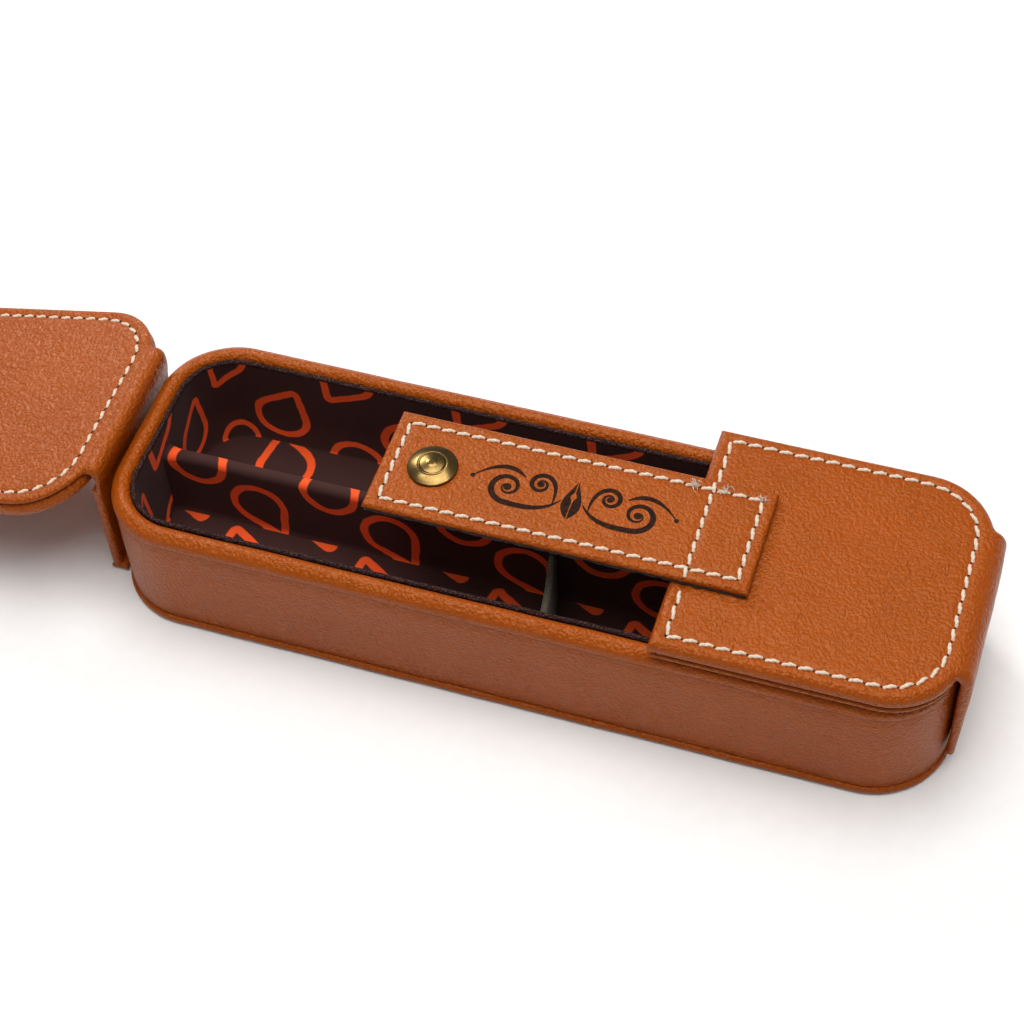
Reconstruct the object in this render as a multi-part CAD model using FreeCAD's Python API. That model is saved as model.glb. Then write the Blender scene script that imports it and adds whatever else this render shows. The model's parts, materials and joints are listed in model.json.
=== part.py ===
"""Fountain pen case: a leather covered tray with a fixed pocket panel at one end, a
hinged lid at the other and a closure tab with a press stud.

Frame: millimetres, +X along the case from the lid's end to the pocket's end, +Z up,
origin at the middle of the base's underside. The lid stands in its rest pose, folded
right back so that its free edge touches the table.
"""
import FreeCAD
import Part
import math
import os

from FreeCAD import Placement, Rotation, Vector

os.makedirs("parts", exist_ok=True)

# ---- driving dimensions -------------------------------------------------------------
HALF_L = 86.2            # tray, middle to the outside of the end wall
HALF_W = 26.5            # tray, middle to the outside of the long wall
RIM_Z = 29.0             # top of the padded rim above the table
CORNER_R = 15.5          # plan radius of the tray's corners
BASE_T = 1.9             # thickness of the covered base panel
BASE_LIP = 0.6           # how far the base panel stands out past the wall
BASE_SKIN = 0.5          # leather round the base board's edge
BASE_SKIN_UNDER = 0.6    # and below it
BASE_SKIN_OVER = 0.3     # and above it
LEATHER_T = 1.0          # covering leather
WALL_T = 2.0             # board of the tray wall
FLOOR_T = 1.4            # board of the tray floor
LINING_T = 1.0           # fabric covered lining board
LINING_DROP = 0.9        # lining's top edge below the rim's top
RIM_W = 3.9              # width of the rolled rim
RIM_ROUND = 1.9          # radius of its outer edges
RIM_SKIN = 1.0           # leather over the top of the rim's cord
RIM_INNER_SKIN = 0.8     # leather on the rim's inner face
RIM_CORE_H = 3.0         # height of the soft cord in the rim
RIM_SLACK = 0.1          # room round that cord
RIM_TURN_IN = 8.0        # leather's inner edge below the rim's top
PARTITION_T = 3.0        # padded partition
PARTITION_Z = 22.0       # its top
PARTITION_SKIN = 0.6     # fabric and padding round its core
DIVIDER_X = 2.0          # cross divider's place along the case, at the partition
DIVIDER_SKEW = 9.0       # degrees the divider leans away from square
DIVIDER_T = 1.4
DIVIDER_Z = 20.0

PANEL_HALF_W = 27.2      # pocket panel and lid
PANEL_R = 14.2
PANEL_INNER_T = 1.2      # thin inner leather of the pocket panel and the lid
PANEL_OUTER_T = 3.4      # thick outer layer, board wrapped in leather
PANEL_GAP = 0.15         # seam between the two
PANEL_ROUND = 1.5        # rolled upper edge of the outer layer
PANEL_ROUND_LOW = 1.3    # and its lower edge
PANEL_SKIN_SIDE = 1.2    # leather beside, below and above the layer's board
PANEL_SKIN_LOW = 1.1
PANEL_SKIN_TOP = 1.0
POCKET_X = 29.6          # pocket panel's straight edge
POCKET_LIFT = 0.25       # panel's underside above the rim
STITCH_INSET = 2.9
STITCH_PITCH = 3.15
THREAD_R = 0.42
THREAD_SHARE = 0.72      # share of the pitch that shows as thread
THREAD_LIFT = 0.05       # thread's axis above the face of the pocket and the tab
THREAD_SUNK = 0.15       # the lid's thread, below the face of its leather

STRIP_HALF_W = 17.5      # end strips
STRIP_T = 2.4            # pocket end's strip
STRIP_ROUND = 1.6        # its upper outer edge, and the board's margin at each side
STRIP_BOARD_DROP = 3.6   # board's top below the strip's top
STRIP_BOARD_RISE = 0.4   # board's foot above the base panel
STRIP_SKIN = 0.7         # leather over the board, pocket's end
SPINE_SKIN = 0.6         # and at the lid's end
JOIN = 0.05              # hairline between glued pieces
STRIP_GAP = 0.4          # gap between the tray's end and the strip at the pocket's end

TAB_X0 = -32.2           # closure tab, free end
TAB_X1 = 45.0            # closure tab, sewn end
TAB_HALF_W = 12.4
TAB_FOLD_X = 31.7        # line the tab folds up on
TAB_T = 2.1
FELT_T = 0.5
TAB_CLEAR = 0.3          # free part's underside above the pocket panel
TAB_ROUND = 0.6          # its corners and upper edges
TAB_STITCH_INSET = 2.6
BUTTON_X = -21.7
BUTTON_R = 5.1
BUTTON_COLLAR = 0.7      # straight part under the dome
BUTTON_RISE = 1.2        # height of the dome
SOCKET_R = 4.0
SOCKET_BORE = 2.3
SOCKET_H = 1.1
STUD_HEAD_R = 1.9
STUD_NECK_R = 1.6
STUD_FLANGE_R = 4.2
STUD_FLANGE_T = 0.5
EYELET_R = 1.2
EYELET_SEAT_R = 2.0

PIVOT_X = -88.8          # lid's fold line
PIVOT_RISE = 2.05        # fold line above the rim
LID_ROOT = 0.8           # from the fold line to the lid's panel
LID_GAP = 0.5            # closed lid's free edge to the pocket panel
LID_CLEAR = 0.3          # closed lid's inner face above the rim
LID_STITCH_ROOT = 3.6    # from the fold line to the stitch row across the lid

SPINE_DROP = 2.7         # left strip's stiff part ends this far below the rim
SPINE_HALF_T = 1.0       # half the left strip's thickness

# ---- derived levels -----------------------------------------------------------------
PANEL_T = PANEL_INNER_T + PANEL_GAP + PANEL_OUTER_T
POCKET_Z = RIM_Z + POCKET_LIFT
POCKET_TOP = POCKET_Z + PANEL_T
POCKET_END_X = HALF_L + STRIP_GAP
PIVOT_Z = RIM_Z + PIVOT_RISE
LID_Z = RIM_Z + LID_CLEAR
LID_TOP = LID_Z + PANEL_T
LID_LEN = POCKET_X - LID_GAP - PIVOT_X
LINING_HALF_L = HALF_L - RIM_W
LINING_HALF_W = HALF_W - RIM_W
LINING_R = CORNER_R - RIM_W
LINING_FLOOR_Z = BASE_T + FLOOR_T
FLOOR_Z = LINING_FLOOR_Z + LINING_T
SPINE_OUT_X = PIVOT_X - SPINE_HALF_T
SPINE_IN_X = PIVOT_X + SPINE_HALF_T
SPINE_Z = RIM_Z - SPINE_DROP
TAB_Z = POCKET_TOP
TAB_TOP = TAB_Z + TAB_T


def lid_open_angle():
    """Degrees between the closed lid and the lid lying back with its edge on the table."""
    below = LID_TOP - PIVOT_Z
    lift = 0.3
    slope = 0.0
    for _ in range(20):
        slope = math.asin((PIVOT_Z - lift - below * math.cos(slope)) / LID_LEN)
    return 180.0 + math.degrees(slope)


OPEN_ANGLE = lid_open_angle()


# ---- shape helpers ------------------------------------------------------------------
def outline(x0, x1, half_w, r_left, r_right, z=0.0):
    """Closed wire of a rectangle with its own corner radius at each end."""
    def corner(cx, cy, r, a0):
        mid = math.radians(a0 + 45)
        end = math.radians(a0 + 90)
        beg = math.radians(a0)
        pts = [Vector(cx + r * math.cos(a), cy + r * math.sin(a), z) for a in (beg, mid, end)]
        return Part.Arc(*pts).toShape(), pts[0], pts[2]

    spots = [
        (x1 - r_right, half_w - r_right, r_right, 0),
        (x0 + r_left, half_w - r_left, r_left, 90),
        (x0 + r_left, -half_w + r_left, r_left, 180),
        (x1 - r_right, -half_w + r_right, r_right, 270),
    ]
    arcs = [corner(*spot) for spot in spots]
    edges = []
    for i, (arc, _, end) in enumerate(arcs):
        edges.append(arc)
        start = arcs[(i + 1) % 4][1]
        edges.append(Part.makeLine(end, start))
    return Part.Wire(edges)


def plate(x0, x1, half_w, r_left, r_right, z0, z1):
    face = Part.Face(outline(x0, x1, half_w, r_left, r_right, z0))
    return face.extrude(Vector(0, 0, z1 - z0))


def tray_plate(grow, z0, z1):
    """Plate with the tray's outline, grown outwards by `grow`."""
    r = CORNER_R + grow
    return plate(-HALF_L - grow, HALF_L + grow, HALF_W + grow, r, r, z0, z1)


def tray_ring(grow_out, grow_in, z0, z1):
    return tray_plate(grow_out, z0, z1).cut(tray_plate(grow_in, z0 - 1, z1 + 1))


def box(x0, x1, y0, y1, z0, z1):
    return Part.makeBox(x1 - x0, y1 - y0, z1 - z0, Vector(x0, y0, z0))


def fillet_where(shape, radius, test):
    edges = [e for e in shape.Edges if test(e.BoundBox)]
    return shape.makeFillet(radius, edges)


def flat_at(z):
    """Test for the edges that lie in the plane at height z."""
    return lambda b: abs(b.ZMin - z) < 1e-4 and abs(b.ZMax - z) < 1e-4


def stitches(wire, z, keep=None):
    """Separate thread solids laid along a wire at height z, where keep(middle) allows."""
    count = round(wire.Length / STITCH_PITCH)
    pts = wire.discretize(count + 1)
    out = []
    for a, b in zip(pts[:-1], pts[1:]):
        mid = (a + b) * 0.5
        if keep and not keep(mid):
            continue
        along = (b - a).normalize()
        length = THREAD_SHARE * STITCH_PITCH
        start = mid - along * (length / 2)
        start.z = z
        out.append(Part.makeCylinder(THREAD_R, length, start, along))
    return Part.makeCompound(out)


def folded_back(shape):
    """Closed lid piece turned to its rest pose about the fold line."""
    turned = shape.copy()
    turned.rotate(Vector(PIVOT_X, 0, PIVOT_Z), Vector(0, 1, 0), -OPEN_ANGLE)
    return turned


# ---- base ---------------------------------------------------------------------------
def base_board():
    return tray_plate(BASE_LIP - BASE_SKIN, BASE_SKIN_UNDER, BASE_T - BASE_SKIN_OVER)


def base_leather():
    """Leather around the base board, with a tongue out to each end strip."""
    panel = tray_plate(BASE_LIP, 0.0, BASE_T)
    panel = fillet_where(panel, 0.7, flat_at(0.0))
    strip_out = POCKET_END_X + STRIP_T
    tongue = box(SPINE_OUT_X, strip_out, -STRIP_HALF_W, STRIP_HALF_W, 0.0, BASE_T)
    ends = fillet_where(
        tongue, 1.2,
        lambda b: b.ZMax < 1e-4 and b.XLength < 1e-4,
    )
    return panel.fuse(ends).cut(base_board()).removeSplitter()


# ---- tray ---------------------------------------------------------------------------
def tray_floor():
    return tray_plate(-LEATHER_T, BASE_T, LINING_FLOOR_Z)


def tray_wall():
    top = RIM_Z - RIM_SKIN - RIM_SLACK - RIM_CORE_H - RIM_SLACK
    return tray_ring(-LEATHER_T, -LEATHER_T - WALL_T, LINING_FLOOR_Z, top)


def rim_core():
    """Soft cord that rounds the rim, hidden under the leather."""
    top = RIM_Z - RIM_SKIN - RIM_SLACK
    inner = -RIM_W + RIM_INNER_SKIN + RIM_SLACK
    ring = tray_ring(-LEATHER_T - RIM_SLACK, inner, top - RIM_CORE_H, top)
    return fillet_where(ring, 0.8, flat_at(top))


def tray_leather():
    """Outer leather: up the wall, rolled over the rim and down inside it."""
    outer = tray_ring(0.0, -RIM_W, BASE_T + 0.15, RIM_Z)
    outer = fillet_where(outer, RIM_ROUND, flat_at(RIM_Z))
    inside = tray_ring(-LEATHER_T, -RIM_W + RIM_INNER_SKIN, BASE_T - 1, RIM_Z - RIM_SKIN)
    inside = fillet_where(inside, 0.85, flat_at(RIM_Z - RIM_SKIN))
    below = tray_plate(-LEATHER_T, BASE_T - 1, RIM_Z - RIM_TURN_IN)
    return outer.cut(inside).cut(below)


def lining_wall():
    ring = tray_ring(-RIM_W - JOIN, -RIM_W - LINING_T, LINING_FLOOR_Z, RIM_Z - LINING_DROP)
    return fillet_where(ring, 0.3, flat_at(RIM_Z - LINING_DROP))


def lining_floor():
    return tray_plate(-RIM_W - LINING_T, LINING_FLOOR_Z, FLOOR_Z)


def partition_solid(inset):
    half = PARTITION_T / 2 - inset
    end = LINING_HALF_L - LINING_T - inset
    body = box(-end, end, -half, half, FLOOR_Z + (0.01 if inset else 0), PARTITION_Z - inset)
    return fillet_where(
        body, half * 0.9,
        lambda b: abs(b.ZMin - (PARTITION_Z - inset)) < 1e-4 and b.XLength > 10,
    )


def partition_core():
    return partition_solid(PARTITION_SKIN)


def partition_fabric():
    return partition_solid(0.0).cut(partition_core())


def cross_divider():
    """Thin divider across the near compartment, trimmed by the partition and the lining."""
    body = box(0, DIVIDER_T, -2 * HALF_W, PARTITION_T, FLOOR_Z, DIVIDER_Z)
    body = fillet_where(body, 0.5, lambda b: flat_at(DIVIDER_Z)(b) and b.YLength > 5)
    body.rotate(Vector(0, 0, 0), Vector(0, 0, 1), DIVIDER_SKEW)
    body.translate(Vector(DIVIDER_X, 0, 0))
    room = box(-30, 30, -LINING_HALF_W + LINING_T, -PARTITION_T / 2, 0, RIM_Z)
    return body.common(room)


# ---- pocket panel -------------------------------------------------------------------
def panel_outer(x0, x1, r0, r1, z0):
    """Thick outer layer of the pocket or the lid, with rolled edges."""
    body = plate(x0, x1, PANEL_HALF_W, r0, r1, z0, z0 + PANEL_OUTER_T)
    body = fillet_where(body, PANEL_ROUND, flat_at(z0 + PANEL_OUTER_T))
    return fillet_where(body, PANEL_ROUND_LOW, flat_at(z0))


def panel_core(x0, x1, r0, r1, z0):
    """Board inside that layer."""
    skin = PANEL_SKIN_SIDE
    radii = [max(r - skin, 0.3) for r in (r0, r1)]
    return plate(x0 + skin, x1 - skin, PANEL_HALF_W - skin, *radii,
                 z0 + PANEL_SKIN_LOW, z0 + PANEL_OUTER_T - PANEL_SKIN_TOP)


def pocket_spec(z0):
    return POCKET_X, POCKET_END_X, 0.8, PANEL_R, z0


def pocket_board():
    return panel_core(*pocket_spec(POCKET_Z + PANEL_INNER_T + PANEL_GAP))


def pocket_leather():
    spec = pocket_spec(POCKET_Z + PANEL_INNER_T + PANEL_GAP)
    return panel_outer(*spec).cut(panel_core(*spec))


def pocket_lining():
    return plate(POCKET_X + 0.5, POCKET_END_X - 0.6, PANEL_HALF_W - 0.5, 0.6, PANEL_R - 0.5,
                 POCKET_Z, POCKET_Z + PANEL_INNER_T)


def pocket_thread():
    inset = STITCH_INSET
    wire = outline(POCKET_X + inset, POCKET_END_X - inset - 0.4, PANEL_HALF_W - inset, 0.3,
                   PANEL_R - inset)
    clear_of_tab = TAB_HALF_W + 0.5 * STITCH_PITCH
    return stitches(wire, POCKET_TOP + THREAD_LIFT,
                    lambda p: p.x > TAB_X1 or abs(p.y) > clear_of_tab)


# ---- end strips ---------------------------------------------------------------------
def strip_body(x0, x1, z1, top_r=0.0):
    """Upright strip across the case, its outer top edge rounded by top_r."""
    z0 = BASE_T + JOIN
    corners = [(x1 - top_r, z1), (x0, z1), (x0, z0), (x1, z0), (x1, z1 - top_r)]
    points = [Vector(x, -STRIP_HALF_W, z) for x, z in corners]
    edges = [Part.makeLine(a, b) for a, b in zip(points, points[1:]) if a.distanceToPoint(b) > 0]
    if top_r > 0:
        lean = top_r * math.sqrt(0.5)
        middle = Vector(x1 - top_r + lean, -STRIP_HALF_W, z1 - top_r + lean)
        edges.append(Part.Arc(points[-1], middle, points[0]).toShape())
    return Part.Face(Part.Wire(edges)).extrude(Vector(0, 2 * STRIP_HALF_W, 0))


def strip_board(x0, x1, z1, inset):
    """Stiffening board inside an end strip."""
    half = STRIP_HALF_W - STRIP_ROUND
    return box(x0 + inset, x1 - inset, -half, half,
               BASE_T + STRIP_BOARD_RISE, z1 - STRIP_BOARD_DROP)


def right_strip():
    spec = POCKET_END_X + JOIN, POCKET_END_X + STRIP_T, POCKET_TOP
    board = strip_board(*spec, STRIP_SKIN)
    return strip_body(*spec, STRIP_ROUND).cut(board), board


def left_strip():
    spec = SPINE_OUT_X, SPINE_IN_X, SPINE_Z
    board = strip_board(*spec, SPINE_SKIN)
    return strip_body(*spec).cut(board), board


def lid_hinge_leather():
    """Soft fold that joins the left strip's inner face to the lid's inner leather."""
    r_out = PIVOT_Z - LID_Z
    r_in = r_out - PANEL_INNER_T
    tilt = math.radians(OPEN_ANGLE - 180)
    along = Vector(-math.cos(tilt), 0, -math.sin(tilt))
    up = Vector(-math.sin(tilt), 0, math.cos(tilt))
    pivot = Vector(PIVOT_X, 0, PIVOT_Z)

    def polar(r, deg):
        a = math.radians(deg)
        return pivot + Vector(r * math.cos(a), 0, r * math.sin(a))

    top = 90 + math.degrees(tilt)
    low_out = Vector(PIVOT_X + r_out, 0, SPINE_Z + JOIN)
    low_in = Vector(PIVOT_X + r_in, 0, SPINE_Z + JOIN)
    end_out = pivot + up * r_out + along * (LID_ROOT - 0.1)
    end_in = pivot + up * r_in + along * (LID_ROOT - 0.1)
    edges = [
        Part.makeLine(low_out, polar(r_out, 0)),
        Part.Arc(polar(r_out, 0), polar(r_out, top / 2), polar(r_out, top)).toShape(),
        Part.makeLine(polar(r_out, top), end_out),
        Part.makeLine(end_out, end_in),
        Part.makeLine(end_in, polar(r_in, top)),
        Part.Arc(polar(r_in, top), polar(r_in, top / 2), polar(r_in, 0)).toShape(),
        Part.makeLine(polar(r_in, 0), low_in),
        Part.makeLine(low_in, low_out),
    ]
    face = Part.Face(Part.Wire(edges))
    face.translate(Vector(0, -STRIP_HALF_W, 0))
    return face.extrude(Vector(0, 2 * STRIP_HALF_W, 0))


# ---- lid (built closed, then folded back) -------------------------------------------
def lid_spec(z0):
    return PIVOT_X + LID_ROOT, PIVOT_X + LID_LEN, PANEL_R, 0.8, z0


def lid_board():
    return folded_back(panel_core(*lid_spec(LID_Z + PANEL_INNER_T + PANEL_GAP)))


def lid_outer_leather():
    spec = lid_spec(LID_Z + PANEL_INNER_T + PANEL_GAP)
    shell = panel_outer(*spec).cut(panel_core(*spec))
    return folded_back(shell.cut(stud_flange_seat()))


def lid_inner_leather():
    x0, x1, r0, r1, z0 = lid_spec(LID_Z)
    return folded_back(plate(x0, x1 - 0.5, PANEL_HALF_W - 0.5, r0, r1, z0, z0 + PANEL_INNER_T))


def lid_thread():
    inset = STITCH_INSET
    wire = outline(PIVOT_X + LID_STITCH_ROOT, PIVOT_X + LID_LEN - inset, PANEL_HALF_W - inset,
                   PANEL_R - inset, 0.3)
    return folded_back(stitches(wire, LID_Z + THREAD_SUNK))


# ---- press stud ---------------------------------------------------------------------
def stud_flange_seat():
    """Hole through the lid's outer leather for the stud's eyelet."""
    return Part.makeCylinder(EYELET_SEAT_R, 1.2, Vector(BUTTON_X, 0, LID_TOP - 1.1))


def lid_snap_stud():
    """Male half on the lid's outer face: flange, neck and rounded head."""
    z = LID_TOP
    at = Vector(BUTTON_X, 0, 0)
    flange = Part.makeCylinder(STUD_FLANGE_R, STUD_FLANGE_T, at + Vector(0, 0, z))
    neck = Part.makeCylinder(STUD_NECK_R, 1.3, at + Vector(0, 0, z + 0.4))
    head = Part.makeCylinder(STUD_HEAD_R, 0.8, at + Vector(0, 0, z + 1.3))
    head = fillet_where(head, 0.35, lambda b: b.XLength > 3)
    return folded_back(flange.fuse(neck).fuse(head).removeSplitter())


def lid_snap_post():
    """Eyelet that clamps the stud through the lid's leather."""
    eyelet = Part.makeCylinder(EYELET_R, 1.0, Vector(BUTTON_X, 0, LID_TOP - 1.0))
    return folded_back(eyelet)


def snap_cap():
    """Domed cap on its collar, with plain ring grooves."""
    z = TAB_TOP
    at = Vector(BUTTON_X, 0, 0)
    collar = Part.makeCylinder(BUTTON_R - 0.1, BUTTON_COLLAR, at + Vector(0, 0, z))
    top = z + BUTTON_COLLAR + BUTTON_RISE
    r = (BUTTON_R ** 2 + BUTTON_RISE ** 2) / (2 * BUTTON_RISE)
    ball = Part.makeSphere(r, at + Vector(0, 0, top - r))
    dome = ball.common(Part.makeCylinder(BUTTON_R, 5, at + Vector(0, 0, z + BUTTON_COLLAR)))
    groove = Part.makeTorus(3.1, 0.25, at + Vector(0, 0, top - 0.42))
    return collar.fuse(dome).cut(groove).removeSplitter()


def snap_socket():
    """Female half under the tab's felt."""
    at = Vector(BUTTON_X, 0, TAB_Z + TAB_CLEAR - SOCKET_H)
    bore = Part.makeCylinder(SOCKET_BORE, 2, at - Vector(0, 0, 0.5))
    return Part.makeCylinder(SOCKET_R, SOCKET_H, at).cut(bore)


# ---- closure tab --------------------------------------------------------------------
def tab_leather(x0, x1, z0):
    whole = plate(TAB_X0, TAB_X1, TAB_HALF_W, TAB_ROUND, TAB_ROUND, z0, TAB_TOP)
    whole = fillet_where(whole, TAB_ROUND, flat_at(TAB_TOP))
    return whole.common(box(x0, x1, -20, 20, z0 - 1, TAB_TOP + 1))


def tab_felt(x0, x1, z0):
    whole = plate(TAB_X0 + 0.4, TAB_X1 - 0.4, TAB_HALF_W - 0.3, 0.5, 0.5, z0, z0 + FELT_T)
    return whole.common(box(x0, x1, -20, 20, z0 - 1, TAB_TOP + 1))


def tab_thread(keep):
    inset = TAB_STITCH_INSET
    wire = outline(TAB_X0 + inset, TAB_X1 - inset, TAB_HALF_W - inset, 0.3, 0.3)
    return stitches(wire, TAB_TOP + THREAD_LIFT, keep)


def tab_cross_row():
    """Part of the pocket panel's stitch row that runs over the tab."""
    x = POCKET_X + STITCH_INSET
    half = TAB_HALF_W - TAB_STITCH_INSET - TAB_ROUND
    row = Part.Wire([Part.makeLine(Vector(x, -half, 0), Vector(x, half, 0))])
    return stitches(row, TAB_TOP + THREAD_LIFT)


def tab_parts():
    half_gap = 0.15
    split = TAB_FOLD_X
    low = TAB_Z + TAB_CLEAR
    return {
        "tab_anchor_leather": tab_leather(split + half_gap, 99, TAB_Z + FELT_T),
        "tab_anchor_felt": tab_felt(split + half_gap, 99, TAB_Z),
        "tab_anchor_thread": Part.makeCompound([
            tab_thread(lambda p: p.x > split + 2.2),
            tab_cross_row(),
        ]),
        "tab_flap_leather": tab_leather(-99, split - half_gap, low + FELT_T),
        "tab_flap_felt": tab_felt(-99, split - half_gap, low),
        "tab_flap_thread": tab_thread(lambda p: p.x < split - 1.4),
    }


def all_parts():
    right_leather, right_board = right_strip()
    left_leather, left_board = left_strip()
    parts = {
        "right_strip_leather": right_leather,
        "right_strip_board": right_board,
        "left_strip_leather": left_leather,
        "left_strip_board": left_board,
    }
    makers = (
        base_board, base_leather, tray_floor, tray_wall, rim_core, tray_leather,
        lining_wall, lining_floor, partition_core, partition_fabric, cross_divider,
        pocket_board, pocket_leather, pocket_lining, pocket_thread, lid_hinge_leather,
        lid_board, lid_outer_leather, lid_inner_leather, lid_thread, lid_snap_stud,
        lid_snap_post, snap_cap, snap_socket,
    )
    for make in makers:
        parts[make.__name__] = make()
    parts.update(tab_parts())
    return parts


for name, shape in all_parts().items():
    shape.exportStep(f"parts/{name}.step")
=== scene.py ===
"""Looks of the fountain pen case: stitched tan leather, printed lining, brass press stud.

Lengths are in millimetres in the frame's own axes; `MM` turns them into metres as each
mesh is made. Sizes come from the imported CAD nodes.
"""
import bpy
import json
import math
import numpy as np
from mathutils import Matrix, Vector, noise


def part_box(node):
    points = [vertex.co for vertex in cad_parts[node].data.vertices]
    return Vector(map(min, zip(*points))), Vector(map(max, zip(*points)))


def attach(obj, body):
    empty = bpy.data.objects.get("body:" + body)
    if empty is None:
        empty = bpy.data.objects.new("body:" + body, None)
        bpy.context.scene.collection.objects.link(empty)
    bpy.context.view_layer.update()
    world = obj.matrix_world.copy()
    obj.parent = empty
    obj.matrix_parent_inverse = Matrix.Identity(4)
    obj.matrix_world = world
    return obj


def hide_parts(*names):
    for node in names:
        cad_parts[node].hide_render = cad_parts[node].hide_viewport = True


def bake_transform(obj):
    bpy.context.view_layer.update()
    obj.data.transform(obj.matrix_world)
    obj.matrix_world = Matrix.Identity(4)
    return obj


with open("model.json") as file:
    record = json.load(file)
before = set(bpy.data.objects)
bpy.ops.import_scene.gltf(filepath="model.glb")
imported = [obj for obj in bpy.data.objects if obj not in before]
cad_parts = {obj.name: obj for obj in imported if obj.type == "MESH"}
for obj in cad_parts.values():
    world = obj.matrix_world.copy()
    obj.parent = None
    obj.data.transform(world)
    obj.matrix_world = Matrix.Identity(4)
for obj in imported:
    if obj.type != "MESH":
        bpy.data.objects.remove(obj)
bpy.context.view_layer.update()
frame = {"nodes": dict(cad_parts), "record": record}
MM = 0.001


# ---- sizes read from the frame ----
def span(node):
    """Lowest and highest corner of a CAD node, in mm."""
    lo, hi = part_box(node)
    return np.array(lo) / MM, np.array(hi) / MM


def joint(name):
    return next(j for j in frame["record"]["behaviour"]["joints"] if j["name"] == name)


TRAY_LO, TRAY_HI = span("tray_leather")
HALF_L, HALF_W, RIM_Z = TRAY_HI
LINING_HI = span("lining_wall")[1]
BASE_TOP = span("base_leather")[1][2]
FLOOR_Z = span("lining_floor")[1][2]
PART_LO, PART_HI = span("partition_fabric")
POCKET_LO, POCKET_HI = span("pocket_leather")
STRIP_LO, STRIP_HI = span("right_strip_leather")
SPINE_LO, SPINE_HI = span("left_strip_leather")
FLAP_LO, FLAP_HI = span("tab_flap_leather")
ANCHOR_HI = span("tab_anchor_leather")[1]
FELT_Z = span("tab_flap_felt")[0][2]
CAP_LO, CAP_HI = span("snap_cap")
PIVOT = np.array(joint("lid_fold")["pos_m"]) / MM
OPEN = math.radians(joint("lid_fold")["range_deg"][1])

CORNER_R = 15.5          # plan radius of the tray's corners
PANEL_R = 14.2           # and of the pocket panel and the lid
PANEL_HALF = POCKET_HI[1]
PANEL_T = POCKET_HI[2] - POCKET_LO[2]
INNER_T = 1.2            # thin inner leather of the pocket and the lid
SEAM_GAP = 0.15          # between the two layers
STITCH_INSET = 2.9
STITCH_PITCH = 3.15
STITCH_R = PANEL_R - STITCH_INSET
TAB_INSET = 2.6
TAB_SKIN = 1.55          # tab's leather
TAB_FELT = 0.75          # its backing
STRIP_W = STRIP_HI[1]    # half-width of the end strips
LIP_LEN = 1.0            # thickness of the lining's turned edge
LID_ROOT = 0.8           # fold line to the lid's panel
LID_LEN = POCKET_LO[0] - 0.5 - PIVOT[0]
LID_FACE = RIM_Z + 0.3   # closed lid's inner face
RIM_SETTLED = 0.30       # padded rim sinks a little under its leather
STITCH_SINK = 0.16       # lid's thread is pressed in so that it clears the rim


# ---- node helpers ----
class Nodes:
    """Small builder for a material's node tree."""

    def __init__(self, name):
        self.mat = bpy.data.materials.new(name)
        self.mat.use_nodes = True
        self.tree = self.mat.node_tree
        self.bsdf = self.tree.nodes["Principled BSDF"]

    def add(self, kind, inputs=None, **settings):
        node = self.tree.nodes.new(kind)
        for key, value in settings.items():
            setattr(node, key, value)
        for key, value in (inputs or {}).items():
            self.feed(node.inputs[key], value)
        return node

    def where(self):
        return self.add("ShaderNodeTexCoord").outputs["Object"]

    def feed(self, socket, value):
        if isinstance(value, bpy.types.NodeSocket):
            self.tree.links.new(value, socket)
        elif isinstance(value, bpy.types.Node):
            self.tree.links.new(value.outputs[0], socket)
        else:
            socket.default_value = value

    def math(self, op, a, b=0.0, clamp=False):
        return self.add("ShaderNodeMath", {0: a, 1: b}, operation=op, use_clamp=clamp).outputs[0]

    def mul(self, a, b, clamp=False):
        return self.math("MULTIPLY", a, b, clamp)

    def sub(self, a, b, clamp=False):
        return self.math("SUBTRACT", a, b, clamp)

    def plus(self, a, b):
        return self.math("ADD", a, b)

    def shifted(self, where, scale, detail, amount):
        """Coordinates moved by a noise's colour times an amount on each axis."""
        colour = self.noise(where, scale, detail, 0.5).node.outputs[1]
        by = self.add("ShaderNodeVectorMath", {0: colour, 1: amount}, operation="MULTIPLY")
        return self.add("ShaderNodeVectorMath", {0: where, 1: by}, operation="ADD").outputs[0]

    def mix(self, factor, a, b):
        node = self.add("ShaderNodeMix", data_type="RGBA")
        self.feed(node.inputs[0], factor)
        self.feed(node.inputs[6], a)
        self.feed(node.inputs[7], b)
        return node.outputs[2]

    def ramp(self, value, stops):
        node = self.add("ShaderNodeValToRGB", {0: value})
        elements = node.color_ramp.elements
        while len(elements) < len(stops):
            elements.new(0.5)
        for element, (place, colour) in zip(elements, stops):
            element.position = place
            element.color = colour
        return node.outputs[0]

    def fade(self, value, lo, hi, start=0.0, end=1.0):
        """Grey that runs from start to end as the value goes from lo to hi."""
        return self.ramp(value, [(lo, (start,) * 3 + (1.0,)), (hi, (end,) * 3 + (1.0,))])

    def noise(self, where, scale, detail=3.0, rough=0.55):
        inputs = {"Vector": where, "Scale": scale, "Detail": detail, "Roughness": rough}
        return self.add("ShaderNodeTexNoise", inputs).outputs[0]

    def bump(self, height, distance, strength, below=None):
        inputs = {"Height": height, "Distance": distance, "Strength": strength}
        if below is not None:
            inputs["Normal"] = below
        return self.add("ShaderNodeBump", inputs).outputs[0]

    def finish(self, colour, roughness, normal, **constants):
        self.feed(self.bsdf.inputs["Base Color"], colour)
        self.feed(self.bsdf.inputs["Roughness"], roughness)
        self.feed(self.bsdf.inputs["Normal"], normal)
        for key, value in constants.items():
            self.bsdf.inputs[key.replace("_", " ")].default_value = value
        return self.mat


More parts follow.
